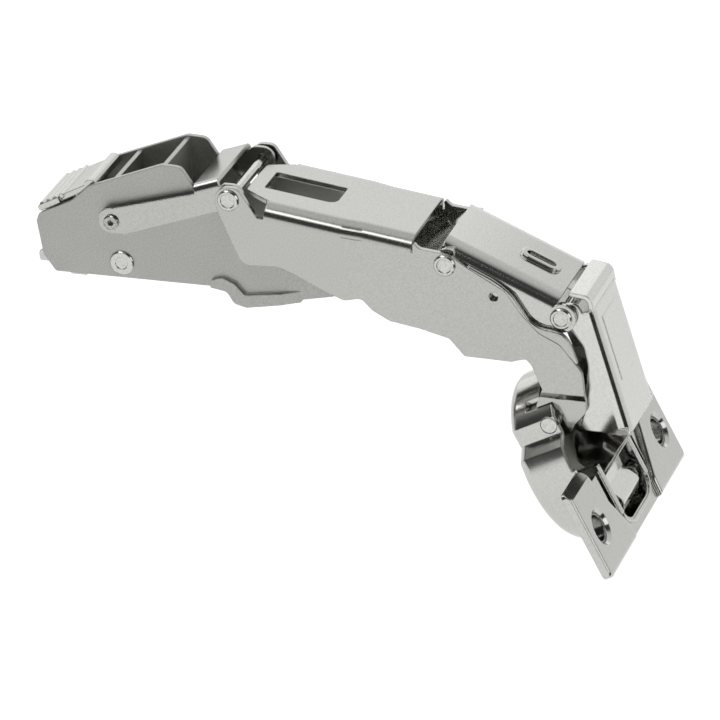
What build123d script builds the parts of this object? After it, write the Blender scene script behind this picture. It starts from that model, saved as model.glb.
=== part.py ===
from build123d import *
import math
import os

os.makedirs("parts", exist_ok=True)

# Concealed cup hinge, wide-angle type, shown fully open.
# Frame: the origin is on the arm's seating face, over the middle of its carriage.
# +X runs along the cabinet side towards the door, +Y along the pins, +Z away from the cabinet side.
# A point in the XZ plane is written (x, z).

# Pivots of the linkage
lever_pivot = (-6.0, 12.5)
lever_reach = (25.0, 7.7)
front_pivot = (37.4, 2.9)
end_pivot = (85.2, 1.2)
cup_centre = (89.937, -28.563)
cup_slope = 27.0
rear_cup_offset = (-10.25, -2.4)
front_cup_offset = (11.2, -1.5)

# Clearances
running_gap = 0.05
fixed_gap = 0.03
side_gap = 0.15
shell_gap = 0.3

# Sheet thicknesses
outer_sheet = 1.05
cross_sheet = 0.95
lever_sheet = 0.9
inner_sheet = 0.9
housing_wall = 1.0
carriage_sheet = 1.2

# Half widths over the outside of each layer
outer_half = 11.5
outer_rear_half = outer_half + 0.5
cross_half = outer_half - outer_sheet - side_gap
inner_half = cross_half - cross_sheet - side_gap - 0.1
lever_half = cross_half
strap_gap = 1.0
housing_half = lever_half - lever_sheet - strap_gap
cross_rear_half = housing_half - housing_wall - 0.8
tab_half = cross_rear_half + shell_gap + housing_wall
foot_half = housing_half + 0.8
eye_half = outer_half - 1.0

# Fold radii over the outside
outer_fold = 2.9
cross_fold = 3.0
lever_fold = 1.6
inner_fold = 2.2

# Pins
link_pin_radius = 1.05
cross_pin_radius = 1.25
end_pin_radius = 1.25
front_pin_radius = 1.25
lever_screw_radius = 1.2
rear_cup_pin_radius = 1.65
front_cup_pin_radius = 1.0
rivet_head_radius = 2.2
rivet_dimple_radius = 1.4
rivet_head_rise = 0.5

# Cup and flange
cup_radius = 17.5
cup_depth = 10.7
cup_wall = 1.2
cup_flat_half = 13.0
cup_flat_end = -8.1
cup_step_end = -6.3
flange_start = 2.9
flange_end = 18.4
flange_half = 28.6
flange_sheet = 0.9
pad_rear = -0.8
pad_top = 2.0
pad_bevel = 1.7
pad_edge = 0.9
pad_waist = 5.4
pad_turn = 14.6
screw_spread = 45.0
screw_offset = 9.6
screw_hole_radius = 3.1
countersink_radius = 3.8
mouth_half = outer_half - 2.9
mouth_end = 15.6
mouth_corner = 4.0
slot_margin = 0.35
slot_start = 1.0
slot_end = 10.9
lip_outer_half = outer_half - outer_sheet - slot_margin - 0.05
lip_top = 1.4
lip_end = 13.0
rim_drop = 0.7
window_half = eye_half - outer_sheet - slot_margin
window_drop = 3.4
eye_slot_half = eye_half + 0.4
eye_slot_drop = 6.4
window_end = -9.5
cheek_depth = 5.0

# Seat carriage and its screws
carriage_half = housing_half - housing_wall - side_gap
carriage_rivet_place = (-4.9, 3.1)
carriage_rivet_radius = 1.2
carriage_rivet_head = 2.5
catch_pivot = (-15.0, 7.5)
catch_pin_radius = 1.0
side_screw_place = 8.6
side_screw_radius = 2.4
side_screw_head = 3.2
depth_cam_place = -4.9
cam_stem_radius = 1.8
cam_plate_radius = 4.2


def beyond(point, dx, dz):
    return (point[0] + dx, point[1] + dz)


def corner(anchor, dx, dz, radius=0.0):
    return (anchor[0] + dx, anchor[1] + dz, radius)


def on_line(start, end, x):
    # Height of the straight line through two points at a given x
    share = (x - start[0]) / (end[0] - start[0])
    return start[1] + share * (end[1] - start[1])


link_pivot = beyond(lever_pivot, *lever_reach)
cross_pivot = beyond(front_pivot, *lever_reach)

slope = math.radians(cup_slope)
along_cup = (math.sin(slope), -math.cos(slope))
above_cup = (math.cos(slope), math.sin(slope))


def in_cup(along, above):
    # Side-view point from its place along the door face and above it
    return (cup_centre[0] + along * along_cup[0] + above * above_cup[0],
            cup_centre[1] + along * along_cup[1] + above * above_cup[1])


rear_cup_pivot = in_cup(*rear_cup_offset)
front_cup_pivot = in_cup(*front_cup_offset)
cup_plane = Plane(origin=(cup_centre[0], 0, cup_centre[1]),
                  x_dir=(along_cup[0], 0, along_cup[1]),
                  z_dir=(above_cup[0], 0, above_cup[1]))


def outline_face(corners):
    # Face in a plane's own axes from (u, v, corner radius)
    points = [(u, v) for u, v, radius in corners]
    radii = [radius for u, v, radius in corners]
    return make_face(FilletPolyline(*points, radius=radii, close=True).edges())


def slab(corners, near, far):
    # Side outline in XZ, filled from y = near to y = far
    return Pos(0, far, 0) * extrude(Plane.XZ * outline_face(corners), amount=far - near)


def both_sides(solid):
    return solid + mirror(solid, about=Plane.XZ)


def walls(corners, outer, sheet):
    # A pair of flat side walls
    return both_sides(slab(corners, outer - sheet, outer))


def stepped_walls(corners, plan, sheet):
    # Side walls that step sideways: plan lists (x, outer half width)
    outside = [(x, half, 0.0) for x, half in plan]
    inside = [(x, half - sheet, 0.0) for x, half in reversed(plan)]
    tall = 200.0
    strip = Pos(0, 0, -tall / 2) * extrude(outline_face(outside + inside), amount=tall)
    widest = max(half for x, half in plan) + 1.0
    return both_sides(strip & slab(corners, 0.5, widest))


def channel(stations, sheet, fold, depth):
    # Web with two folded shoulders, from (point on the web, outer half width) at each station
    first = stations[0][0]
    last = stations[-1][0]
    run = Vector(last[0] - first[0], 0, last[1] - first[1]).normalized()
    sections = []
    for point, half in stations:
        plane = Plane(origin=(point[0], 0, point[1]), x_dir=(0, 1, 0), z_dir=run)
        inner = half - sheet
        shape = [(-half, -depth, 0.0), (-half, 0, fold), (half, 0, fold), (half, -depth, 0.0),
                 (inner, -depth, 0.0), (inner, -sheet, fold - sheet),
                 (-inner, -sheet, fold - sheet), (-inner, -depth, 0.0)]
        sections.append(plane * outline_face(shape))
    return loft(sections, ruled=True)


def bent_strip(points, radii, sheet, near, far):
    # Folded strip of sheet seen from the side: its middle line, bend radii and width along Y
    middle = FilletPolyline(*points, radius=radii)
    face = make_face(middle.offset_2d(sheet / 2, side=Side.BOTH, closed=True).edges())
    return Pos(0, far, 0) * extrude(Plane.XZ * face, amount=far - near)


def turned(point, profile):
    # Solid of revolution about the pin axis through a point: profile lists (radius, y)
    face = outline_face([(radius, y, 0.0) for radius, y in profile])
    return Pos(point[0], 0, point[1]) * revolve(face, Axis.Y)


def bore(point, radius, reach=40.0):
    return Pos(point[0], 0, point[1]) * Rot(90, 0, 0) * Cylinder(radius, reach)


def headed_pin(point, radius, grip, head=rivet_head_radius, rise=rivet_head_rise,
               dimple=rivet_dimple_radius):
    # Rivet with a dimpled head on each end; grip is the half length under the heads
    end = grip + rise
    sink = 0.4 * rise
    edge = 0.6 * rise
    half = [(0, end - sink), (dimple, end - sink), (dimple + 0.1, end), (head - edge, end),
            (head, end - edge), (head, grip), (radius, grip)]
    return turned(point, half + [(r, -y) for r, y in reversed(half)])


def plain_pin(point, radius, half_length, edge=0.2):
    half = [(0, half_length), (radius - edge, half_length), (radius, half_length - edge)]
    return turned(point, half + [(r, -y) for r, y in reversed(half)])


def coil(point, wire, radius, turns, start):
    # Close-wound turns about the pin axis, from y = start outwards
    pitch = 2 * wire + 0.08
    height = turns * pitch
    path = Helix(pitch=pitch, height=height, radius=radius)
    section = Plane(origin=path @ 0, z_dir=path % 0) * Circle(wire)
    turns_solid = sweep(section, path=path, is_frenet=True)
    return Pos(point[0], start, point[1]) * Rot(-90, 0, 0) * turns_solid


# Outer link: the long folded link with the window, from the lever to the cup's rear pin
outer_web_start = beyond(link_pivot, 7.4, -0.4)
outer_web_end = beyond(cross_pivot, -6.4, 5.0)
outer_tongue_lead = 5.4
outer_tongue_half = 6.3
outer_step_start = beyond(cross_pivot, -20.5, 0)[0]
outer_step_end = beyond(cross_pivot, -16.5, 0)[0]
outer_window = (4.8, 19.4, 4.0)
outer_ear_radius = 2.7
eye_radius = 3.1
eye_step_rise = 6.3
eye_step_drop = 1.6
outer_hole_offset = (9.7, -5.6)
outer_hole_radius = 0.95


def build_outer_link():
    P = link_pivot
    M = cross_pivot
    C = rear_cup_pivot
    ear = outer_ear_radius
    shoulder = outer_fold + 0.1
    step_top = C[1] + eye_step_rise
    step_low = step_top - eye_step_drop
    upper = [
        corner(P, -ear, ear, ear - 0.1), corner(P, 1.9, ear, 2.0), corner(P, 5.7, -3.2, 0.4),
        (outer_web_start[0], outer_web_start[1] - shoulder, 0.0),
        (outer_web_end[0], outer_web_end[1] - shoulder, 0.0),
        (outer_web_end[0], outer_web_end[1] - 0.6, 0.3),
        corner(M, -5.2, 3.0, 1.5), corner(M, 0.9, 2.3, 3.0), corner(M, 4.4, 0.0, 3.0),
        corner(M, 11.9, -4.2, 2.0), corner(M, 15.2, -8.8, 2.5), corner(M, 18.6, -12.4, 3.0),
        corner(M, 22.8, -14.4, 3.0), corner(C, 6.4, 11.2, 4.0),
        (C[0] + 6.8, step_top, 0.0), (C[0] - 1.4, step_top, 0.0),
        corner(C, -2.1, 8.0, 2.0), corner(C, -3.6, 11.6, 1.0), corner(C, -4.8, 13.0, 0.8),
        corner(M, 13.0, -19.0, 1.5), corner(M, 3.6, -18.8, 0.5), corner(M, 0.6, -15.4, 0.6),
        corner(M, -5.3, -13.9, 6.0), corner(M, -11.4, -12.9, 3.0), corner(M, -14.9, -11.0, 2.0),
        corner(M, -17.1, -8.7, 1.6), corner(M, -20.4, -9.3, 2.0), corner(M, -24.4, -7.7, 4.0),
        corner(P, 13.1, -14.4, 2.0), corner(P, 9.7, -13.1, 3.0), corner(P, 2.3, -13.4, 2.6),
        corner(P, -2.1, -2.9, 1.0), corner(P, -ear, -0.9, 0.5),
    ]
    plan = [(P[0] - 6, outer_rear_half), (outer_step_start, outer_rear_half),
            (outer_step_end, outer_half), (C[0] + 12, outer_half)]
    link = stepped_walls(upper, plan, outer_sheet)

    step_share = [outer_web_start[0], outer_step_start, outer_step_end, outer_web_end[0]]
    halves = [outer_rear_half, outer_rear_half, outer_half, outer_half]
    stations = [((x, on_line(outer_web_start, outer_web_end, x)), half)
                for x, half in zip(step_share, halves)]
    link += channel(stations, outer_sheet, outer_fold, shoulder + 0.5)

    # Web tongue between the ears, with its corners cut off
    tongue_x = outer_web_start[0] - outer_tongue_lead
    wide = outer_rear_half - outer_fold
    plan_corners = [(tongue_x, -outer_tongue_half, 0.6), (outer_web_start[0] - 0.5, -wide, 0.0),
                    (outer_web_start[0] + 0.5, -wide, 0.0), (outer_web_start[0] + 0.5, wide, 0.0),
                    (outer_web_start[0] - 0.5, wide, 0.0), (tongue_x, outer_tongue_half, 0.6)]
    tall = 20.0
    tongue_plan = Pos(0, 0, link_pivot[1] - tall / 2) * extrude(outline_face(plan_corners), amount=tall)
    rear_z = on_line(outer_web_start, outer_web_end, tongue_x - 1)
    front_z = on_line(outer_web_start, outer_web_end, outer_web_start[0] + 1)
    strip = [(tongue_x - 1, rear_z, 0.0), (outer_web_start[0] + 1, front_z, 0.0),
             (outer_web_start[0] + 1, front_z - outer_sheet, 0.0),
             (tongue_x - 1, rear_z - outer_sheet, 0.0)]
    link += tongue_plan & slab(strip, -wide - 1, wide + 1)

    # Lower ends stepped inwards, with the eyes for the cup's rear pin
    lower = [
        (C[0] - 1.6, step_top + 0.6, 0.0), (C[0] + 6.8, step_top + 0.6, 0.0),
        corner(C, 6.9, 2.4, 2.0), corner(C, 4.4, -0.6, 1.5), corner(C, 3.4, -eye_radius, eye_radius - 0.2),
        corner(C, -eye_radius, -eye_radius, eye_radius - 0.2), corner(C, -eye_radius, 3.0, 1.0),
    ]
    tall_x = 30.0
    lean = [
        (outer_half, step_top + 0.7, 0.0), (outer_half, step_top, 0.6), (eye_half, step_low, 0.6),
        (eye_half, C[1] - 6, 0.0), (eye_half - outer_sheet, C[1] - 6, 0.0),
        (eye_half - outer_sheet, step_low, 0.2), (outer_half - outer_sheet, step_top, 0.2),
        (outer_half - outer_sheet, step_top + 0.7, 0.0),
    ]
    lean_strip = Pos(C[0] - tall_x / 2, 0, 0) * extrude(Plane.YZ * outline_face(lean), amount=tall_x)
    link += both_sides(lean_strip & slab(lower, 1.0, outer_half + 1))

    # Window in the web and the pressed line beside it
    start, end, half = outer_window
    window = [(link_pivot[0] + start, -half, 0.4), (link_pivot[0] + end, -half, 2.0),
              (link_pivot[0] + end, half, 0.4), (link_pivot[0] + start, half, 0.4)]
    window_block = extrude(outline_face(window), amount=tall)
    link -= Pos(0, 0, link_pivot[1] - tall / 2) * window_block

    link -= bore(P, link_pin_radius + fixed_gap)
    link -= bore(M, cross_pin_radius + fixed_gap)
    link -= bore(C, rear_cup_pin_radius + running_gap)
    link -= bore(beyond(M, *outer_hole_offset), outer_hole_radius)
    return link


# Crossing link: passes between the outer link's walls, from the arm's front pin to the end pin
cross_web_start = beyond(cross_pivot, -0.2, 4.8)
cross_web_end = beyond(end_pivot, -0.2, 4.2)
cross_rear_line = [(-16.4, -3.6), (-10.4, -0.6), (0.4, 3.2)]
cross_step_start = -13.5
cross_step_end = -7.5
cross_ear_radius = 2.9
cross_boss_centre = (-6.8, 7.7)
cross_boss_length = 8.7
cross_boss_half = 1.9
cross_boss_rise = 0.7


def build_crossing_link():
    A = front_pivot
    M = cross_pivot
    B = end_pivot
    ear = cross_ear_radius
    shoulder = cross_fold + 0.1
    drop = (cross_web_end[1] - cross_web_start[1]) / (cross_web_end[0] - cross_web_start[0])
    lean = math.cos(math.atan(drop))
    deep = shoulder / lean
    wall_top = cross_web_end[0] - 2.2
    front = [
        (cross_web_start[0], cross_web_start[1] - deep, 0.0),
        (wall_top, on_line(cross_web_start, cross_web_end, wall_top) - deep, 0.5),
        corner(B, -0.4, ear, 0.8), corner(B, ear, ear, ear - 0.1), corner(B, ear, -ear, ear - 0.1),
        corner(B, -2.6, -ear, 2.0), corner(M, 6.0, -5.0, 4.0), corner(M, 0.0, -3.3, 2.0),
        corner(M, -2.6, -3.3, 0.0), corner(M, -2.6, 0.6, 0.0),
    ]
    link = walls(front, cross_half, cross_sheet)
    link += channel([(cross_web_start, cross_half), (cross_web_end, cross_half)],
                    cross_sheet, cross_fold, shoulder + 0.5)

    low_web = [corner(M, dx, dz) for dx, dz in cross_rear_line]
    rear = [
        corner(A, -ear, 2.4, 1.6), (low_web[0][0] - 4.6, low_web[0][1] - 0.9, 1.0),
        (low_web[0][0], low_web[0][1], 0.0), (low_web[1][0], low_web[1][1], 2.0),
        (low_web[2][0], low_web[2][1], 0.0), (M[0] + 1.6, low_web[2][1], 0.0),
        corner(M, 1.6, -3.3, 0.0), corner(M, -5.0, -5.4, 3.0), corner(A, 5.0, -ear, 3.0),
        corner(A, -ear, -ear, ear - 0.2),
    ]
    plan = [(A[0] - 5, cross_rear_half), (M[0] + cross_step_start, cross_rear_half),
            (M[0] + cross_step_end, cross_half), (M[0] + 3, cross_half)]
    link += stepped_walls(rear, plan, cross_sheet)

    # Lower web that ties the two walls from the front pin to the crossing pin
    web = [(low_web[0][0] - 1.0, low_web[0][1] - 0.3, 0.0), (low_web[0][0], low_web[0][1], 0.0),
           (low_web[1][0], low_web[1][1], 2.0),
           (low_web[2][0], low_web[2][1], 0.0), (low_web[2][0], low_web[2][1] - cross_sheet, 0.0),
           (low_web[1][0], low_web[1][1] - cross_sheet, 2.0),
           (low_web[0][0], low_web[0][1] - cross_sheet, 0.0),
           (low_web[0][0] - 1.0, low_web[0][1] - cross_sheet - 0.3, 0.0)]
    inset = 0.3
    web_plan = [(x, half - inset, 0.0) for x, half in plan]
    web_plan += [(x, inset - half, 0.0) for x, half in reversed(plan)]
    tall = 60.0
    web_block = extrude(outline_face(web_plan), amount=tall)
    link += slab(web, -20, 20) & (Pos(0, 0, M[1] - tall / 2) * web_block)

    # Raised oblong pressing on the web
    rise = cross_web_end[1] - cross_web_start[1]
    along = Vector(cross_web_end[0] - cross_web_start[0], 0, rise).normalized()
    middle = beyond(B, *cross_boss_centre)
    on_web = (middle[0], on_line(cross_web_start, cross_web_end, middle[0]))
    web_plane = Plane(origin=(on_web[0], 0, on_web[1]), x_dir=along, z_dir=(-along.Z, 0, along.X))
    pressed = web_plane * SlotOverall(cross_boss_length, 2 * cross_boss_half)
    raised = extrude(pressed, amount=cross_boss_rise)
    top_face = raised.faces().sort_by(Axis(web_plane.origin, web_plane.z_dir))[-1]
    raised = fillet(top_face.edges(), cross_boss_rise - 0.3)
    through = web_plane.offset(-3.0) * SlotOverall(cross_boss_length - 2.4, 2 * cross_boss_half - 2.0)
    link = link + raised - extrude(through, amount=6.0)

    link -= bore(A, front_pin_radius + running_gap)
    link -= bore(M, cross_pin_radius + running_gap)
    link -= bore(B, end_pin_radius + fixed_gap)
    return link


# Inner link: nests in the crossing link and reaches down into the cup
inner_web_top = beyond(end_pivot, 6.0, 1.6)
inner_web_low = beyond(front_cup_pivot, 4.9, 16.9)
inner_ear_radius = 2.65
inner_low_half = inner_half - 2.9
tongue_half = mouth_half - 2.8


def build_inner_link():
    B = end_pivot
    C = front_cup_pivot
    shoulder = inner_fold + 0.1
    run = Vector(inner_web_low[0] - inner_web_top[0], 0, inner_web_low[1] - inner_web_top[1])
    tilt = run.normalized()
    inward = (-shoulder * -tilt.Z, -shoulder * tilt.X)
    top_shoulder = beyond(inner_web_top, inward[0], inward[1])
    low_shoulder = beyond(inner_web_low, inward[0], inward[1])
    ear = inner_ear_radius
    side = [
        corner(B, -ear, ear, ear - 0.1), corner(B, ear, ear, 1.0), (top_shoulder[0], top_shoulder[1], 0.0),
        (low_shoulder[0], low_shoulder[1], 0.0), corner(C, -5.5, 17.1), corner(C, -4.4, 20.0, 2.0),
        corner(C, -4.0, 24.4, 4.0), corner(B, 5.0, -10.0, 4.0),
        corner(B, 4.2, -6.0, 3.0), corner(B, 1.6, -ear, 1.5), corner(B, -ear, -ear, ear - 0.1),
    ]
    inner_wall = inner_half - inner_sheet
    link = walls(side, inner_half, inner_sheet)
    link += channel([(inner_web_top, inner_half), (inner_web_low, inner_half)],
                    inner_sheet, inner_fold, shoulder + 0.5)

    # Lower walls drawn in towards each other, reaching down into the cup
    low_side = [
        corner(C, -5.6, 17.7), corner(C, -6.9, 15.0, 1.0), corner(C, -7.2, 12.6, 1.0), corner(C, -6.9, 8.3, 1.2),
        corner(C, -4.2, 6.6, 1.5), corner(C, -2.4, 4.6, 0.3), corner(C, 1.3, 11.5, 1.5), corner(C, 4.5, 16.6),
        corner(C, 4.5, 17.7),
    ]
    drawn = [
        (inner_half, C[1] + 17.8, 0.0), (inner_half, C[1] + 16.5, 0.8), (inner_low_half, C[1] + 9.0, 2.0),
        (inner_low_half, C[1] + 4.0, 0.0), (inner_low_half - inner_sheet, C[1] + 4.0, 0.0),
        (inner_low_half - inner_sheet, C[1] + 9.0, 2.0), (inner_wall, C[1] + 16.5, 0.8),
        (inner_wall, C[1] + 17.8, 0.0),
    ]
    tall_x = 30.0
    drawn_strip = Pos(C[0] - tall_x / 2, 0, 0) * extrude(Plane.YZ * outline_face(drawn), amount=tall_x)
    link += both_sides(drawn_strip & slab(low_side, 1.0, inner_half + 1))

    # Web rolled over the end pin
    half_sheet = inner_sheet / 2
    start = (inner_web_top[0] - half_sheet, inner_web_top[1] - 0.6)
    lip = [start, corner(B, 5.0, 3.9)[:2], corner(B, 1.4, 4.3)[:2]]
    link += bent_strip(lip, [1.6], inner_sheet, -inner_wall, inner_wall)

    # Tongue bent over the cup's front pin, its places given along and above the door face
    def by_pin(along, above):
        return in_cup(front_cup_offset[0] + along, front_cup_offset[1] + above)

    low_start = beyond(inner_web_low, -half_sheet - 0.5, 1.4)
    low_end = beyond(inner_web_low, -half_sheet, 0)
    middle = [low_start, low_end, by_pin(-9.6, 6.6), by_pin(-5.4, 0.3), by_pin(-2.7, 0.0),
              by_pin(0.6, 2.0), by_pin(2.5, 0.9), by_pin(3.0, -1.4)]
    link += bent_strip(middle, [2.0, 2.5, 0.7, 0.9, 1.1, 0.7], inner_sheet, -tongue_half, tongue_half)

    link -= bore(B, end_pin_radius + running_gap)
    link -= bore(C, front_cup_pin_radius + fixed_gap)
    return link


# Lever link: the bracket whose straps lie outside the arm's walls
lever_web_start = beyond(link_pivot, -8.0, 1.5)
lever_web_end = beyond(link_pivot, -2.9, 3.3)


def build_lever_link():
    S = lever_pivot
    P = link_pivot
    shoulder = lever_fold + 0.1
    ear = 2.6
    strap = [
        corner(S, -2.6, -2.4, 2.3), corner(S, -2.6, 2.7, 2.3), corner(S, 0.4, 2.9, 1.0),
        (lever_web_start[0], lever_web_start[1] - shoulder, 0.0),
        (lever_web_end[0], lever_web_end[1] - shoulder, 0.0),
        corner(P, -1.6, ear, 1.2), corner(P, ear, ear, ear - 0.1), corner(P, ear, -ear, ear - 0.1),
        corner(P, -2.2, -3.1, 1.0), corner(S, 2.6, -2.4, 2.0),
    ]
    link = walls(strap, lever_half, lever_sheet)
    link += channel([(lever_web_start, lever_half), (lever_web_end, lever_half)],
                    lever_sheet, lever_fold, shoulder + 0.4)
    link -= bore(S, lever_screw_radius + running_gap)
    link -= bore(P, link_pin_radius + running_gap)
    return link


# Arm housing: cast walls, cross ribs and a front fork round the front pin
rib_places = [(-5.7, 20.6, 15.4), (4.4, 24.3, 9.6)]
rib_width = 0.9
deck_height = 9.6
deck_start = -5.0
deck_end = 12.0


def build_arm_housing():
    A = front_pivot
    tab = 2.6
    side = [
        (-18.9, 0, 0.8), (-21.3, 3.4, 0.5), (-22.4, 10.5, 0.8), (-21.8, 12.1, 1.2), (-14.9, 15.4, 3.0),
        (-11.2, 18.8, 2.0), (4.2, 24.8, 2.0), (8.2, 24.6, 2.0), (10.8, 20.6, 1.5), (13.0, 18.4, 1.0),
        (17.0, 15.0, 2.0), (22.0, 9.6, 2.0), (27.8, 7.2, 2.0), corner(A, -4.0, 3.0, 1.0), corner(A, tab, tab, tab - 0.1),
        corner(A, tab, -tab, tab - 0.3), corner(A, -1.0, -3.3, 0.5), (30.6, -1.6, 0.0), (28.8, -1.3, 0.0),
        (20.0, -2.2, 1.0), (15.0, 0, 1.0),
    ]
    plan = [(-30, housing_half), (28.0, housing_half), (31.8, tab_half), (A[0] + 6, tab_half)]
    housing = stepped_walls(side, plan, housing_wall)

    # Foot swelling outwards along the front lower edge
    foot = [
        (13.6, 0, 0.0), (13.8, 1.6, 0.6), (16.0, 2.3, 1.5), (18.6, 1.2, 1.5), (20.6, -1.0, 1.0),
        (31.8, 0.5, 0.0), (31.8, -1.9, 0.0), (29.0, -2.2, 0.5), (21.0, -3.6, 1.0), (18.4, -3.0, 1.5),
        (17.0, -0.6, 1.5),
    ]
    foot_plan = [(13.0, foot_half), (28.2, foot_half), (31.8, tab_half)]
    housing += stepped_walls(foot, foot_plan, foot_half - housing_half + housing_wall)

    inner = housing_half - housing_wall + 0.2
    for x, top, low in rib_places:
        rib = [(x - rib_width / 2, low, 0), (x + rib_width / 2, low, 0),
               (x + rib_width / 2, top, 0), (x - rib_width / 2, top, 0)]
        housing += slab(rib, -inner, inner)
    deck = [(deck_start, deck_height, 0), (deck_end, deck_height, 0),
            (deck_end, deck_height + 1.0, 0), (deck_start, deck_height + 1.0, 0)]
    housing += slab(deck, -inner, inner)

    housing -= bore(lever_pivot, lever_screw_radius + fixed_gap)
    housing -= bore(front_pivot, front_pin_radius + fixed_gap)
    housing -= bore(carriage_rivet_place, carriage_rivet_radius + fixed_gap)
    return housing


# Carriage: seats on the mounting plate, inside the housing
def build_seat_carriage():
    floor = [(-12.0, 0, 0), (13.0, 0, 0), (13.0, carriage_sheet, 0), (-12.0, carriage_sheet, 0)]
    carriage = slab(floor, -carriage_half, carriage_half)
    ear = [(-16.5, 0, 0), (-17.2, 9.4, 2.0), (-13.0, 9.4, 2.0), (-10.5, 6.0, 2.0), (8.0, 6.0, 2.0),
           (13.0, 2.2, 1.0), (13.0, 0, 0)]
    carriage += walls(ear, carriage_half, carriage_sheet)
    carriage -= bore(carriage_rivet_place, carriage_rivet_radius + fixed_gap)
    carriage -= bore(catch_pivot, catch_pin_radius + fixed_gap)
    carriage -= Pos(side_screw_place, 0, 0) * Cylinder(side_screw_radius + fixed_gap, 30)
    carriage -= Pos(depth_cam_place, 0, 0) * Cylinder(cam_stem_radius + fixed_gap, 30)
    return carriage


def upright(x, radius, low, high):
    on_base = (Align.CENTER, Align.CENTER, Align.MIN)
    return Pos(x, 0, low) * Cylinder(radius, high - low, align=on_base)


def build_side_screw():
    # Side adjusting screw with a cross recess, standing in the carriage
    top = 7.4
    screw = upright(side_screw_place, side_screw_radius, 0.1, 5.2)
    screw += upright(side_screw_place, side_screw_head, 5.2, top)
    recess = Pos(side_screw_place, 0, top)
    screw -= recess * Box(4.2, 0.9, 2.4)
    screw -= recess * Box(0.9, 4.2, 2.4)
    return screw


def build_depth_cam():
    # Depth adjusting cam: a stem in the carriage floor under an off-centre disc with a screwdriver slot
    cam = upright(depth_cam_place, cam_stem_radius, 0.1, carriage_sheet + 0.1)
    top = carriage_sheet + 1.5
    cam += Pos(0.4, 0, 0) * upright(depth_cam_place, cam_plate_radius, carriage_sheet + 0.1, top)
    cam -= Pos(depth_cam_place, 0, top) * Box(0.9, 3.4, 1.6)
    cam -= bore(carriage_rivet_place, carriage_rivet_radius + running_gap)
    return cam


# Release lever: ribbed thumb plate over the housing's rear, with legs down to the catch
release_rear = (-22.0, 12.9)
release_front = (-11.2, 18.4)
release_half = housing_half - 0.4
release_front_half = housing_half - housing_wall - 0.25
release_step = 0.4
release_sheet = 1.2
release_leg_half = carriage_half - carriage_sheet - 0.45
release_bar_radius = 1.3
release_rib_count = 4
release_rib_height = 0.5
release_rib_first = 0.9
release_rib_pitch = 1.55


def build_release_lever():
    rear, front = release_rear, release_front
    rise = Vector(front[0] - rear[0], 0, front[1] - rear[1]).normalized()
    normal = Vector(-rise.Z, 0, rise.X)
    under = (-release_sheet * normal.X / 2, -release_sheet * normal.Z / 2)
    over = (-under[0], -under[1])
    plate = [corner(rear, *under, 0.3), corner(front, *under), corner(front, *over),
             corner(rear, *over, 0.5)]
    lever = slab(plate, -release_front_half, release_front_half)
    step = (rear[0] + release_step * (front[0] - rear[0]), rear[1] + release_step * (front[1] - rear[1]))
    wide = [corner(rear, *under, 0.3), corner(step, *under), corner(step, *over), corner(rear, *over, 0.5)]
    lever += slab(wide, -release_half, release_half)
    lever += Pos(front[0], 0, front[1]) * Rot(90, 0, 0) * Cylinder(release_bar_radius, 2 * release_front_half)
    for count in range(release_rib_count):
        reach = release_rib_first + release_rib_pitch * count
        at = (rear[0] + reach * rise.X + 0.45 * normal.X, rear[1] + reach * rise.Z + 0.45 * normal.Z)
        rib = Rot(90, 0, 0) * Cylinder(release_rib_height, 2 * release_half - 1.0)
        lever += Pos(at[0], 0, at[1]) * rib
    C = catch_pivot
    leg = [
        (rear[0] + 0.4, rear[1], 0.5), (rear[0] + 6.0, rear[1] + 3.0, 0.5), corner(C, 2.2, 2.2, 1.5),
        corner(C, 2.4, -8.0, 0.6), corner(C, 1.6, -9.1, 0.6), corner(C, -1.6, -9.1, 0.6),
        corner(C, -2.6, -8.0, 0.6), corner(C, -2.8, -6.2, 0.5), corner(C, -4.6, -6.8, 0.5),
        corner(C, -8.3, -6.8, 0.6), corner(C, -8.3, -4.8, 0.6), corner(C, -6.0, -3.6, 1.0),
    ]
    legs = walls(leg, release_leg_half, release_sheet)
    lever += legs
    hook = [corner(C, -5.0, -4.4), corner(C, -6.9, -5.9), corner(C, -4.2, -6.2), corner(C, -3.4, -4.6)]
    lever += slab(hook, -release_leg_half + 0.2, release_leg_half - 0.2)
    lever -= bore(C, catch_pin_radius + running_gap)
    return lever


def round_plan(start, end, half, radius):
    # Plan of an opening or lip with rounded front corners, in the cup's own axes
    return outline_face([(start, -half, 0.0), (end, -half, radius), (end, half, radius), (start, half, 0.0)])


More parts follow.
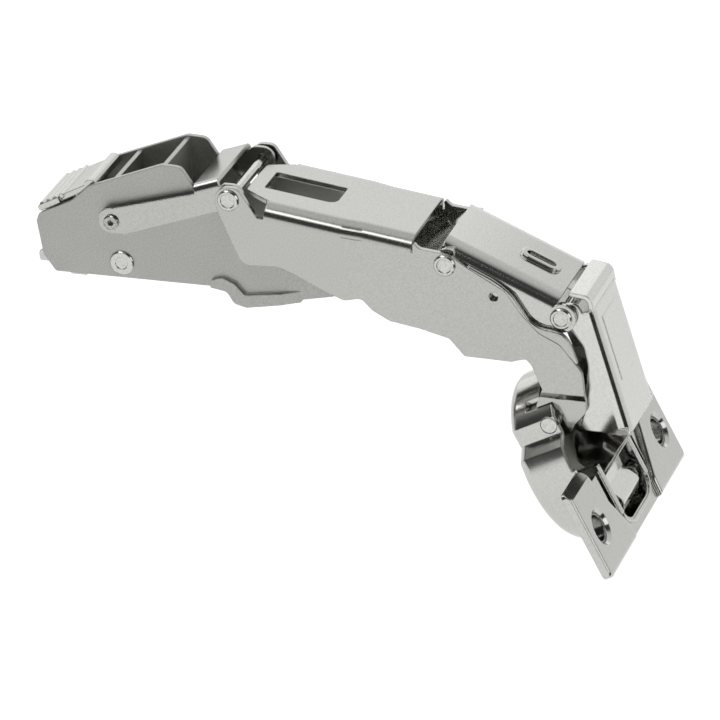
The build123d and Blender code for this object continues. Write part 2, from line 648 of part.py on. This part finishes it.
def build_cup():
    # Pressed cup: a round pot with flattened rear sides, under a flange with two raised screw pads
    side = cup_radius + 3.0
    at_step = math.sqrt(cup_radius ** 2 - cup_step_end ** 2) + 0.2
    half_plan = [(-side, -cup_flat_half), (cup_flat_end, -cup_flat_half), (cup_step_end, -at_step),
                 (cup_step_end, -side), (side, -side)]
    trim = half_plan + [(u, -v) for u, v in reversed(half_plan)]
    pot_plan = Circle(cup_radius) & make_face(Polyline(*trim, close=True).edges())
    pot = extrude(pot_plan, amount=-cup_depth)
    pot = fillet(pot.faces().sort_by(Axis.Z)[0].edges(), 2.0)
    hollow = extrude(offset(pot_plan, amount=-cup_wall), amount=-(cup_depth - cup_wall))
    hollow = fillet(hollow.faces().sort_by(Axis.Z)[0].edges(), 1.0)
    pot -= hollow
    pot -= Pos(-side, 0, 0) * Box(2 * (side + pad_rear - 0.4), 60, 2 * rim_drop)

    # Openings through the rear wall for the links
    rear_reach = 2 * (side + window_end)
    pot -= Pos(-side, 0, 0) * Box(rear_reach, 2 * window_half, 2 * window_drop)
    slot_middle = (window_half + eye_slot_half) / 2
    for way in (-1, 1):
        slot = Box(rear_reach, eye_slot_half - window_half + 0.4, 2 * eye_slot_drop)
        pot -= Pos(-side, way * (slot_middle - 0.2), 0) * slot

    flange_plan = [(flange_start, -flange_half + 1.0, 0.6), (flange_end, -flange_half + 1.0, 1.2),
                   (flange_end, flange_half - 1.0, 1.2), (flange_start, flange_half - 1.0, 0.6)]
    cup = extrude(outline_face(flange_plan), amount=flange_sheet)

    # Screw pads, narrowing away from the mouth, with their rear edges sloped and their outer edges rounded
    pad_front_half = outer_half - 1.9
    pad_plan = [(pad_rear, flange_half, 1.0), (flange_end, flange_half, 1.4), (flange_end, pad_front_half, 0.0),
                (pad_turn, pad_front_half + 0.4, 4.0), (pad_waist, outer_half + 3.5, 4.0),
                (pad_rear, outer_half + 5.7, 1.0)]
    pad = extrude(outline_face(pad_plan), amount=pad_top)
    sides = pad.edges().filter_by_position(Axis.Z, pad_top - 0.01, pad_top + 0.01)
    pad = fillet(sides, pad_edge)
    slope_cut = [(pad_rear - 1.0, -1.0, 0.0), (pad_rear - 1.0, pad_top + 1.0, 0.0),
                 (pad_rear + pad_bevel, pad_top + 1.0, 0.0), (pad_rear + pad_bevel, pad_top, 0.8),
                 (pad_rear, flange_sheet - 0.3, 0.0), (pad_rear, -1.0, 0.0)]
    pad -= Pos(0, 40, 0) * extrude(Plane.XZ * outline_face(slope_cut), amount=80)
    cup += both_sides(pad)

    # Low lip along the mouth, with cheeks below it
    lip_half = lip_outer_half - mouth_half
    lip = Pos(flange_start - 1.2, mouth_half, 0) * Box(lip_end - flange_start + 1.2, lip_half, lip_top,
                                                      align=(Align.MIN, Align.MIN, Align.MIN))
    lip = fillet(lip.faces().sort_by(Axis.Z)[-1].edges(), 0.35)
    cup += both_sides(lip)
    cheek = round_plan(flange_start - 1.2, mouth_end + 1.2, mouth_half + 1.2, mouth_corner + 1.0)
    cup += extrude(cheek, amount=-cheek_depth)
    cup += pot
    mouth = round_plan(flange_start - 5.0, mouth_end, mouth_half, mouth_corner)
    cup -= Pos(0, 0, lip_top + 1.0) * extrude(mouth, amount=-(lip_top + 1.5 + cheek_depth))

    # Narrow slots beside the mouth that take the outer link's walls when the hinge is shut
    near = outer_half - outer_sheet - slot_margin + 0.05
    far = outer_half + slot_margin
    for way in (-1, 1):
        slot = Pos((slot_start + slot_end) / 2, way * (near + far) / 2, 0)
        cup -= slot * Box(slot_end - slot_start, far - near, 12.0)

    for way in (-1, 1):
        hole = Pos(screw_offset, way * screw_spread / 2, 0)
        cup -= hole * Cylinder(screw_hole_radius, 20)
        sink = countersink_radius - screw_hole_radius
        under_face = (Align.CENTER, Align.CENTER, Align.MAX)
        cup -= hole * Pos(0, 0, pad_top) * Cone(screw_hole_radius, countersink_radius, sink, align=under_face)
    cup = cup_plane * cup
    cup -= bore(rear_cup_pivot, rear_cup_pin_radius + fixed_gap)
    return cup


lever_collar_radius = 2.4


def build_lever_screws():
    # Shouldered screws that carry the straps on the housing walls
    end = lever_half + 0.6
    profile = [(0, housing_half - housing_wall + 0.1), (lever_screw_radius, housing_half - housing_wall + 0.1),
               (lever_screw_radius, housing_half + 0.03), (lever_collar_radius, housing_half + 0.03),
               (lever_collar_radius, lever_half - lever_sheet - 0.05),
               (lever_screw_radius, lever_half - lever_sheet - 0.05), (lever_screw_radius, lever_half + 0.05),
               (lever_screw_radius + 0.35, lever_half + 0.05), (lever_screw_radius + 0.35, end - 0.2),
               (lever_screw_radius + 0.1, end), (0.6, end), (0.6, end - 0.9), (0, end - 0.9)]
    return both_sides(turned(lever_pivot, profile))


def build_carriage_rivet():
    grip = housing_half + 0.02
    return headed_pin(carriage_rivet_place, carriage_rivet_radius, grip, carriage_rivet_head, 0.4, 1.2)


def build_front_cup_spring():
    # Two close-wound closing springs on the cup's front pin, one each side of the tongue
    wire = 0.35
    spring = coil(front_cup_pivot, wire, front_cup_pin_radius + 0.25 + wire, 1.5, tongue_half + wire + 0.1)
    return both_sides(spring)


def build_catch_spring():
    wire = 0.3
    return coil(catch_pivot, wire, catch_pin_radius + 0.3 + wire, 3.0, -1.0)


parts = {
    "arm_housing": build_arm_housing(),
    "seat_carriage": build_seat_carriage(),
    "carriage_rivet": build_carriage_rivet(),
    "side_screw": build_side_screw(),
    "depth_cam": build_depth_cam(),
    "release_lever": build_release_lever(),
    "catch_pin": plain_pin(catch_pivot, catch_pin_radius, carriage_half),
    "catch_spring": build_catch_spring(),
    "lever_screws": build_lever_screws(),
    "lever_link": build_lever_link(),
    "link_pin": headed_pin(link_pivot, link_pin_radius, outer_rear_half + 0.02),
    "front_pin": headed_pin(front_pivot, front_pin_radius, tab_half + 0.02, 1.8, 0.3, 1.0),
    "outer_link": build_outer_link(),
    "cross_pin": headed_pin(cross_pivot, cross_pin_radius, outer_half + 0.02),
    "crossing_link": build_crossing_link(),
    "end_pin": headed_pin(end_pivot, end_pin_radius, cross_half + 0.02),
    "inner_link": build_inner_link(),
    "front_cup_pin": plain_pin(front_cup_pivot, front_cup_pin_radius, mouth_half - shell_gap),
    "closing_springs": build_front_cup_spring(),
    "cup_body": build_cup(),
    "rear_cup_pin": plain_pin(rear_cup_pivot, rear_cup_pin_radius, cup_flat_half, 0.1),
}
for name, solid in parts.items():
    export_step(solid, f"parts/{name}.step")
    print(name, len(solid.solids()), round(solid.volume, 1), solid.is_valid)
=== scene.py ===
import math

import bpy
from mathutils import Matrix, Vector


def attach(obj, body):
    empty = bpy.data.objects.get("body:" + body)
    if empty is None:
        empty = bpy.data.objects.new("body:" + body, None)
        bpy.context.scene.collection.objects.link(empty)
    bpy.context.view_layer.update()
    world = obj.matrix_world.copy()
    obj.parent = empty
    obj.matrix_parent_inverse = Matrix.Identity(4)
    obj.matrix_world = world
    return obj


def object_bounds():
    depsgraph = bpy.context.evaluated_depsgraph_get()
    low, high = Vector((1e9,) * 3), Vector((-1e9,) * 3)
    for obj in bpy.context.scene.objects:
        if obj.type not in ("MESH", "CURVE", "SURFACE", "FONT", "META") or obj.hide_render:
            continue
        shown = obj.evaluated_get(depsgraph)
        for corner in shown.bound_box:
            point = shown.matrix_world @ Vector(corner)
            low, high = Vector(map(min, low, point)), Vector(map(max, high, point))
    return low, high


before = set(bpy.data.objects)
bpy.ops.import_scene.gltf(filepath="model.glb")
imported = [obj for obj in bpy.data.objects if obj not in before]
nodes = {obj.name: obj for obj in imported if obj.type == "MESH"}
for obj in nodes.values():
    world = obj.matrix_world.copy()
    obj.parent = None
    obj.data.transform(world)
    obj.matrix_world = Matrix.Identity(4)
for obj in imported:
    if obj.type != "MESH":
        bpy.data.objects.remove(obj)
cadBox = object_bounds()
mm = 0.001
print("frame loaded:", len(nodes), "nodes")


def hexColour(text):
    # sRGB hex to the linear colour that the shaders want
    channels = [int(text[i:i + 2], 16) / 255 for i in (1, 3, 5)]
    linear = [c / 12.92 if c <= 0.04045 else ((c + 0.055) / 1.055) ** 2.4 for c in channels]
    return (*linear, 1.0)


def addNode(tree, kind, settings=None, links=None, **attributes):
    # One node with its attributes, its socket values and what feeds it
    node = tree.nodes.new(kind)
    for name, value in attributes.items():
        setattr(node, name, value)
    for socket, value in (settings or {}).items():
        node.inputs[socket].default_value = value
    for socket, source in (links or {}).items():
        tree.links.new(source, node.inputs[socket])
    return node


def perMillimetre(size):
    # Noise scale whose features are about this many millimetres across
    return 1.0 / (size * mm)


# What all plated finishes share: noise detail and roughness, and the spread of the noise that is used
plating = dict(
    grainDetail=3.0, grainRoughness=0.6, cloudDetail=4.0, cloudRoughness=0.55, streakDetail=2.0,
    grainRange=(0.36, 0.62), cloudRange=(0.3, 0.7), bevelSamples=6)


def platedMetal(name, look):
    # Plated metal: grain in the bump, cloudy gloss, and faint drawn streaks
    material = bpy.data.materials.new(name)
    material.use_nodes = True
    tree = material.node_tree
    shader = tree.nodes["Principled BSDF"]
    shader.inputs["Metallic"].default_value = look.get("metallic", 1.0)
    place = addNode(tree, "ShaderNodeTexCoord")
    grain = addNode(tree, "ShaderNodeTexNoise",
                    {"Scale": perMillimetre(look["grainSize"]), "Detail": plating["grainDetail"],
                     "Roughness": plating["grainRoughness"]},
                    {"Vector": place.outputs["Object"]})
    cloud = addNode(tree, "ShaderNodeTexNoise",
                    {"Scale": perMillimetre(look["cloudSize"]), "Detail": plating["cloudDetail"],
                     "Roughness": plating["cloudRoughness"]},
                    {"Vector": place.outputs["Object"]})
    stretched = addNode(tree, "ShaderNodeMapping", {"Scale": look["streakStretch"]},
                        {"Vector": place.outputs["Object"]})
    streaks = addNode(tree, "ShaderNodeTexNoise",
                      {"Scale": perMillimetre(look["streakSize"]), "Detail": plating["streakDetail"]},
                      {"Vector": stretched.outputs["Vector"]})
    # The colour sockets of a Mix node are its seventh and eighth inputs
    tint = addNode(tree, "ShaderNodeMix", {6: hexColour(look["shade"]), 7: hexColour(look["colour"])},
                   data_type="RGBA")
    spread = addNode(tree, "ShaderNodeMapRange",
                     {"From Min": plating["grainRange"][0], "From Max": plating["grainRange"][1],
                      "To Min": 0.0, "To Max": 1.0},
                     {"Value": grain.outputs["Fac"]})
    tree.links.new(spread.outputs["Result"], tint.inputs[0])
    tree.links.new(tint.outputs[2], shader.inputs["Base Color"])
    gloss = addNode(tree, "ShaderNodeMapRange",
                    {"From Min": plating["cloudRange"][0], "From Max": plating["cloudRange"][1],
                     "To Min": look["roughness"] - look["roughnessSpread"],
                     "To Max": look["roughness"] + look["roughnessSpread"]},
                    {"Value": cloud.outputs["Fac"]})
    tree.links.new(gloss.outputs["Result"], shader.inputs["Roughness"])
    both = addNode(tree, "ShaderNodeMath", {1: look["streakShare"]},
                   {0: streaks.outputs["Fac"]}, operation="MULTIPLY")
    height = addNode(tree, "ShaderNodeMath", {}, {0: grain.outputs["Fac"], 1: both.outputs["Value"]},
                     operation="ADD")
    rounded = addNode(tree, "ShaderNodeBevel", {"Radius": look["edgeRadius"] * mm},
                      samples=plating["bevelSamples"])
    bump = addNode(tree, "ShaderNodeBump",
                   {"Strength": look["bumpStrength"], "Distance": look["bumpDepth"] * mm},
                   {"Height": height.outputs["Value"], "Normal": rounded.outputs["Normal"]})
    tree.links.new(bump.outputs["Normal"], shader.inputs["Normal"])
    return material


# Sizes in millimetres. Grain finer than a pixel is drawn at 0.3 mm so that it still shows.
finishes = {
    # Die-cast zinc, tumbled and satin nickel plated: an even sandy grain with soft reflections,
    # a little short of full metal because the matt pits between the grains scatter the light
    "castSatinNickel": dict(
        colour="#B5B5B1", shade="#A3A39F", metallic=0.82, roughness=0.42, roughnessSpread=0.03,
        grainSize=0.3, cloudSize=9.0, streakSize=1.2, streakStretch=(0.3, 1.0, 1.0), streakShare=0.1,
        bumpStrength=0.3, bumpDepth=0.02, edgeRadius=0.3),
    # Cold-rolled sheet, nickel plated: finer grain, brighter and with faint rolling lines
    "sheetSatinNickel": dict(
        colour="#B4B4B0", shade="#A9A9A5", roughness=0.2, roughnessSpread=0.03,
        grainSize=0.3, cloudSize=12.0, streakSize=0.8, streakStretch=(0.12, 1.0, 1.0), streakShare=0.2,
        bumpStrength=0.22, bumpDepth=0.015, edgeRadius=0.3),
    # The same sheet left bright, where the deep folds mirror their surroundings
    "sheetBrightNickel": dict(
        colour="#C0C0BC", shade="#B4B4B0", roughness=0.14, roughnessSpread=0.03,
        grainSize=0.3, cloudSize=10.0, streakSize=0.8, streakStretch=(0.15, 1.0, 1.0), streakShare=0.25,
        bumpStrength=0.2, bumpDepth=0.015, edgeRadius=0.3),
    # The deep-drawn link with bright nickel plate: nearly a mirror
    "drawnBrightNickel": dict(
        colour="#CBCBC7", shade="#C0C0BC", roughness=0.12, roughnessSpread=0.03,
        grainSize=0.4, cloudSize=8.0, streakSize=1.0, streakStretch=(1.0, 1.0, 0.3), streakShare=0.2,
        bumpStrength=0.15, bumpDepth=0.015, edgeRadius=0.4),
    # Turned and tumbled rivet steel
    "rivetSteel": dict(
        colour="#C8C8C4", shade="#B4B4B0", roughness=0.13, roughnessSpread=0.03,
        grainSize=0.4, cloudSize=3.0, streakSize=0.6, streakStretch=(1.0, 1.0, 1.0), streakShare=0.2,
        bumpStrength=0.15, bumpDepth=0.015, edgeRadius=0.2),
    # Zinc plated screws, a little darker
    "screwSteel": dict(
        colour="#B4B4B0", shade="#90908C", roughness=0.2, roughnessSpread=0.05,
        grainSize=0.4, cloudSize=3.0, streakSize=0.6, streakStretch=(1.0, 1.0, 1.0), streakShare=0.2,
        bumpStrength=0.2, bumpDepth=0.02, edgeRadius=0.12),
    # Inside of the pad collars, drawn darker than the plated metal round them
    "collarSteel": dict(
        colour="#8A8A87", shade="#5E5E5C", roughness=0.16, roughnessSpread=0.05,
        grainSize=0.4, cloudSize=2.0, streakSize=0.6, streakStretch=(1.0, 1.0, 1.0), streakShare=0.2,
        bumpStrength=0.2, bumpDepth=0.02, edgeRadius=0.1),
    # Oiled spring wire
    "springWire": dict(
        colour="#8C8C8C", shade="#6E6E6E", roughness=0.28, roughnessSpread=0.05,
        grainSize=0.4, cloudSize=2.0, streakSize=0.6, streakStretch=(1.0, 1.0, 1.0), streakShare=0.2,
        bumpStrength=0.15, bumpDepth=0.02, edgeRadius=0.1),
}
materials = {name: platedMetal(name, look) for name, look in finishes.items()}

nodeFinish = {
    "arm_housing": "castSatinNickel", "seat_carriage": "sheetSatinNickel", "carriage_rivet": "rivetSteel",
    "side_screw": "screwSteel", "depth_cam": "screwSteel", "release_lever": "sheetBrightNickel",
    "catch_pin": "rivetSteel", "catch_spring": "springWire", "lever_screws": "screwSteel",
    "lever_link": "sheetSatinNickel", "link_pin": "rivetSteel", "front_pin": "rivetSteel",
    "outer_link": "sheetSatinNickel", "cross_pin": "rivetSteel", "crossing_link": "sheetBrightNickel",
    "end_pin": "rivetSteel", "inner_link": "drawnBrightNickel", "front_cup_pin": "rivetSteel",
    "closing_springs": "springWire", "cup_body": "sheetBrightNickel", "rear_cup_pin": "rivetSteel",
}
for nodeName, finish in nodeFinish.items():
    for slot in nodes[nodeName].material_slots:
        slot.material = materials[finish]
print("finishes given to", len(nodeFinish), "nodes")

# Places on the cup in its own axes: along the door face, across it, and above it
cup = dict(centre=(89.937, -28.563), slope=27.0)
cupPlace = (Matrix.Translation((cup["centre"][0] * mm, 0, cup["centre"][1] * mm))
            @ Matrix.Rotation(math.radians(90 - cup["slope"]), 4, "Y"))


def onCup(along, across, above):
    return cupPlace @ Vector((along * mm, across * mm, above * mm))


def meshPiece(name, vertices, faces, finish, body):
    # One piece from its points, smooth where it is round, riding on a body
    mesh = bpy.data.meshes.new(name)
    mesh.from_pydata(vertices, [], faces)
    mesh.polygons.foreach_set("use_smooth", [True] * len(faces))
    mesh.update()
    piece = bpy.data.objects.new(name, mesh)
    bpy.context.scene.collection.objects.link(piece)
    mesh.materials.append(materials[finish])
    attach(piece, body)
    return piece


def lathe(profile, place, sides=48):
    # Closed ring of rounds about the local Z axis through a profile of (radius, height) points
    vertices, faces = [], []
    for i in range(sides):
        angle = 2 * math.pi * i / sides
        for radius, height in profile:
            vertices.append(place(radius * math.cos(angle), radius * math.sin(angle), height))
    count = len(profile)
    for i in range(sides):
        for j in range(count):
            a, b = i * count + j, i * count + (j + 1) % count
            c, d = ((i + 1) % sides) * count + (j + 1) % count, ((i + 1) % sides) * count + j
            faces.append((a, d, c, b))
    return vertices, faces


# Threaded collars pressed down from the screw pads
collar = dict(along=9.6, across=22.5, top=1.25, bottom=-1.3, radius=3.06, bore=2.75, crest=2.5, pitch=0.42)


def collarProfile():
    turns = int((collar["top"] - collar["bottom"]) / collar["pitch"])
    inside = []
    for i in range(turns):
        height = collar["bottom"] + i * collar["pitch"]
        inside.append((collar["bore"], height))
        inside.append((collar["crest"], height + collar["pitch"] / 2))
    inside.append((collar["bore"], collar["top"]))
    return inside + [(collar["radius"], collar["top"]), (collar["radius"], collar["bottom"])]


for side, way in (("left", 1), ("right", -1)):
    def placed(x, y, z, way=way):
        return onCup(collar["along"] + x, collar["across"] * way + y, z)
    points, rounds = lathe(collarProfile(), placed)
    meshPiece(f"{side}PadCollar", points, rounds, "collarSteel", "cup")
print("pad collars made")

# Rolled bead round the front of the cup's mouth
bead = dict(start=10.9, end=16.35, half=9.35, corner=4.6, height=0.95, radius=0.42, steps=8, rounds=12)


def beadPath():
    # Down one side, round both corners and back up the other side
    end, half, corner = bead["end"], bead["half"], bead["corner"]
    path = [(bead["start"], -half)]
    for centreY, first in ((-half + corner, -90), (half - corner, 0)):
        for i in range(bead["steps"] + 1):
            angle = math.radians(first + 90 * i / bead["steps"])
            path.append((end - corner + corner * math.cos(angle), centreY + corner * math.sin(angle)))
    path.append((bead["start"], half))
    return path


def beadMesh():
    path = [Vector(point) for point in beadPath()]
    vertices, faces = [], []
    for i, point in enumerate(path):
        ahead = (path[min(i + 1, len(path) - 1)] - path[max(i - 1, 0)]).normalized()
        outward = Vector((ahead.y, -ahead.x))
        for j in range(bead["rounds"]):
            angle = 2 * math.pi * j / bead["rounds"]
            spot = point + outward * bead["radius"] * math.cos(angle)
            vertices.append(onCup(spot.x, spot.y, bead["height"] + bead["radius"] * math.sin(angle)))
    rounds = bead["rounds"]
    for i in range(len(path) - 1):
        for j in range(rounds):
            k = (j + 1) % rounds
            faces.append((i * rounds + j, i * rounds + k, (i + 1) * rounds + k, (i + 1) * rounds + j))
    faces.append(tuple(reversed(range(rounds))))
    faces.append(tuple((len(path) - 1) * rounds + j for j in range(rounds)))
    return vertices, faces


meshPiece("mouthBead", *beadMesh(), "sheetBrightNickel", "cup")
print("mouth bead made")

# Raised panel pressed out of the inner link's web, left bare
panel = dict(top=(91.2, 2.8), low=(98.585, -22.323), start=0.1, end=0.63, half=5.3, rise=0.14, edge=0.25,
             sink=0.05)


def panelMesh():
    topX, topZ = panel["top"]
    run = Vector((panel["low"][0] - topX, 0, panel["low"][1] - topZ))
    out = Vector((-run.z, 0, run.x)).normalized()
    vertices = []
    for lift, inset in ((-panel["sink"], 0.0), (panel["rise"], panel["edge"])):
        first = panel["start"] + inset / run.length
        last = panel["end"] - inset / run.length
        half = panel["half"] - inset
        for share, across in ((first, -half), (last, -half), (last, half), (first, half)):
            spot = Vector((topX, 0, topZ)) + run * share + out * lift
            vertices.append((spot.x * mm, across * mm, spot.z * mm))
    faces = [(4, 5, 6, 7), (3, 2, 1, 0)]
    for i in range(4):
        k = (i + 1) % 4
        faces.append((i, k, k + 4, i + 4))
    return vertices, faces


panelPiece = meshPiece("webPanel", *panelMesh(), "drawnBrightNickel", "inner_link")
panelPiece.data.polygons.foreach_set("use_smooth", [False] * len(panelPiece.data.polygons))
print("web panel made")

# Rolled lip along the outer link's upper edge, from the crossing pin towards the cup
lip = dict(
    edge=[(66.8, 10.6), (74.3, 6.4), (77.6, 1.8), (79.2, 0.1), (81.0, -1.8), (83.5, -3.0), (85.2, -3.8),
          (88.6, -7.6)],
    # Low near the fourth point, where the cup's slot passes when the door is shut
    width=[0.35, 0.9, 0.6, 0.3, 1.2, 2.2, 2.3, 0.3], sink=0.35, near=10.5, far=11.46, smoothing=2,
    rounding=0.25, roundingSteps=2)


def softened(values):
    # Cuts each corner of a line of vectors, keeping its ends
    eased = [values[0]]
    for a, b in zip(values, values[1:]):
        eased += [a.lerp(b, 0.25), a.lerp(b, 0.75)]
    return eased + [values[-1]]


def lipMesh(side):
    line = [Vector((x, z, width)) for (x, z), width in zip(lip["edge"], lip["width"])]
    for _ in range(lip["smoothing"]):
        line = softened(line)
    near, far = lip["near"], lip["far"]
    vertices, faces = [], []
    for i, point in enumerate(line):
        ahead = line[min(i + 1, len(line) - 1)] - line[max(i - 1, 0)]
        out = Vector((-ahead.y, ahead.x)).normalized()
        base = Vector((point.x, point.y)) - out * lip["sink"]
        top = Vector((point.x, point.y)) + out * point.z
        for spot, across in ((base, near), (top, near), (top, far), (base, far)):
            vertices.append((spot.x * mm, across * side * mm, spot.y * mm))
    for i in range(len(line) - 1):
        for j in range(4):
            k = (j + 1) % 4
            quad = (i * 4 + j, i * 4 + k, (i + 1) * 4 + k, (i + 1) * 4 + j)
            faces.append(quad if side > 0 else quad[::-1])
    ends = [(3, 2, 1, 0), tuple((len(line) - 1) * 4 + j for j in range(4))]
    faces += ends if side > 0 else [end[::-1] for end in ends]
    return vertices, faces


for sideName, side in (("left", 1), ("right", -1)):
    lipPiece = meshPiece(f"{sideName}EdgeLip", *lipMesh(side), "sheetSatinNickel", "outer_link")
    rounding = lipPiece.modifiers.new("rounding", "BEVEL")
    rounding.width, rounding.segments = lip["rounding"] * mm, lip["roundingSteps"]
    rounding.limit_method = "ANGLE"
print("edge lips made")

# Floor, background and lights
studio = dict(
    floorDrop=0.075, floorSize=12.0, floorColour="#F2F2F2", floorLift=0.38,
    # World levels: front is the camera's side, back is behind the object
    frontHorizon=0.16, frontUp=0.055, backHorizon=1.0, backUp=1.0, overhead=0.85,
    frontStops=(0.18, 0.8), backStop=0.35, blendWidth=0.25, middle=(0.038, 0.0, -0.01),
    stripPlace=(-0.45, -0.4, 0.92), stripSize=(2.0, 0.28), stripPower=5.2,
    fillPlace=(0.9, -0.5, 0.25), fillSize=(0.5, 0.5), fillPower=1.2,
    backPlace=(-0.3, 0.95, 0.6), backSize=(1.1, 0.9), backPower=1.0,
    # Dark wedge lying to the right of the object, which only reflections see
    flagStart=(0.12, -0.06), flagReach=(5.0, -4.4), flagLift=0.004, flagColour="#333333")


def pale(name, colour, lift):
    # Matt cover, lifted to white where the camera or a reflection sees it, so that it keeps its shadow
    material = bpy.data.materials.new(name)
    material.use_nodes = True
    tree = material.node_tree
    tree.nodes.clear()
    cover = addNode(tree, "ShaderNodeBsdfDiffuse", {"Color": hexColour(colour)})
    path = addNode(tree, "ShaderNodeLightPath")
    mirrored = addNode(tree, "ShaderNodeMath", {}, {0: path.outputs["Is Glossy Ray"],
                       1: path.outputs["Is Transmission Ray"]}, operation="ADD")
    seen = addNode(tree, "ShaderNodeMath", {}, {0: path.outputs["Is Camera Ray"],
                   1: mirrored.outputs["Value"]}, operation="ADD", use_clamp=True)
    lifted = addNode(tree, "ShaderNodeMath", {1: lift}, {0: seen.outputs["Value"]}, operation="MULTIPLY")
    glow = addNode(tree, "ShaderNodeEmission", {"Color": (1, 1, 1, 1)},
                   {"Strength": lifted.outputs["Value"]})
    total = addNode(tree, "ShaderNodeAddShader", {}, {0: cover.outputs[0], 1: glow.outputs[0]})
    addNode(tree, "ShaderNodeOutputMaterial", {}, {"Surface": total.outputs[0]})
    return material


floorHeight = cadBox[0][2] - studio["floorDrop"]
bpy.ops.mesh.primitive_plane_add(size=studio["floorSize"], location=(0, 0, floorHeight))
floor = bpy.context.object
floor.name = "studioFloor"
floor.data.materials.append(pale("paleFloor", studio["floorColour"], studio["floorLift"]))

(startX, startY), (farX, farY) = studio["flagStart"], studio["flagReach"]
flagHeight = floorHeight + studio["flagLift"]
flagMesh = bpy.data.meshes.new("sideFlag")
flagMesh.from_pydata([(startX, startY, flagHeight), (farX, farY, flagHeight), (farX, startY, flagHeight)],
                     [], [(0, 1, 2)])
flag = bpy.data.objects.new("sideFlag", flagMesh)
bpy.context.scene.collection.objects.link(flag)
flag.data.materials.append(pale("flagCloth", studio["flagColour"], 0.0))
flag.visible_camera = flag.visible_diffuse = flag.visible_transmission = flag.visible_shadow = False


def areaLight(name, place, target, size, power):
    lamp = bpy.data.lights.new(name, "AREA")
    lamp.shape = "RECTANGLE"
    lamp.size, lamp.size_y = size
    lamp.energy = power
    holder = bpy.data.objects.new(name, lamp)
    holder.location = place
    holder.rotation_euler = (Vector(target) - Vector(place)).to_track_quat("-Z", "Y").to_euler()
    bpy.context.scene.collection.objects.link(holder)


for lampName in ("strip", "fill", "back"):
    areaLight(lampName + "Light", studio[lampName + "Place"], studio["middle"], studio[lampName + "Size"],
              studio[lampName + "Power"])


def levels(tree, source, stops):
    # Grey ramp through (position, level)
    ramp = addNode(tree, "ShaderNodeValToRGB", {}, {"Fac": source})
    ramp.color_ramp.interpolation = "EASE"
    while len(ramp.color_ramp.elements) < len(stops):
        ramp.color_ramp.elements.new(0.5)
    for element, (position, level) in zip(ramp.color_ramp.elements, stops):
        element.position = position
        element.color = (level, level, level, 1)
    return ramp.outputs["Color"]


world = bpy.data.worlds.new("studioWorld")
bpy.context.scene.world = world
world.use_nodes = True
tree = world.node_tree
tree.nodes.clear()
direction = addNode(tree, "ShaderNodeTexCoord")
parts = addNode(tree, "ShaderNodeSeparateXYZ", {}, {0: direction.outputs["Generated"]})
frontLow, frontHigh = studio["frontStops"]
frontSide = levels(tree, parts.outputs["Z"], [(0.0, studio["frontHorizon"]), (frontLow, studio["frontUp"]),
                                              (frontHigh, studio["frontUp"]), (1.0, studio["overhead"])])
backSide = levels(tree, parts.outputs["Z"], [(0.0, studio["backHorizon"]),
                                             (studio["backStop"], studio["backUp"]),
                                             (1.0, studio["overhead"])])
behind = addNode(tree, "ShaderNodeMapRange",
                 {"From Min": -studio["blendWidth"], "From Max": studio["blendWidth"]},
                 {"Value": parts.outputs["Y"]}, interpolation_type="SMOOTHSTEP")
blend = addNode(tree, "ShaderNodeMix", {}, {0: behind.outputs["Result"], 6: frontSide, 7: backSide},
                data_type="RGBA")
light = addNode(tree, "ShaderNodeBackground", {"Strength": 1.0}, {"Color": blend.outputs[2]})
addNode(tree, "ShaderNodeOutputWorld", {}, {"Surface": light.outputs[0]})
print("studio set")

# Camera at the photograph's angle
view = dict(
    place=(0.3589, -0.9830, 0.4535), right=(0.955, 0.295, -0.029), up=(-0.097, 0.404, 0.910), lens=287.5,
    sensor=36.0, near=0.01, far=50.0)
right = Vector(view["right"]).normalized()
up = (Vector(view["up"]) - Vector(view["up"]).dot(right) * right).normalized()
back = right.cross(up)
camera = bpy.data.cameras.new("photoCamera")
camera.lens = view["lens"]
camera.sensor_width = view["sensor"]
camera.clip_start = view["near"]
camera.clip_end = view["far"]
holder = bpy.data.objects.new("photoCamera", camera)
holder.matrix_world = Matrix.Translation(view["place"]) @ Matrix((right, up, back)).transposed().to_4x4()
bpy.context.scene.collection.objects.link(holder)
bpy.context.scene.camera = holder
bpy.context.scene.view_settings.view_transform = "Standard"
print("camera set")
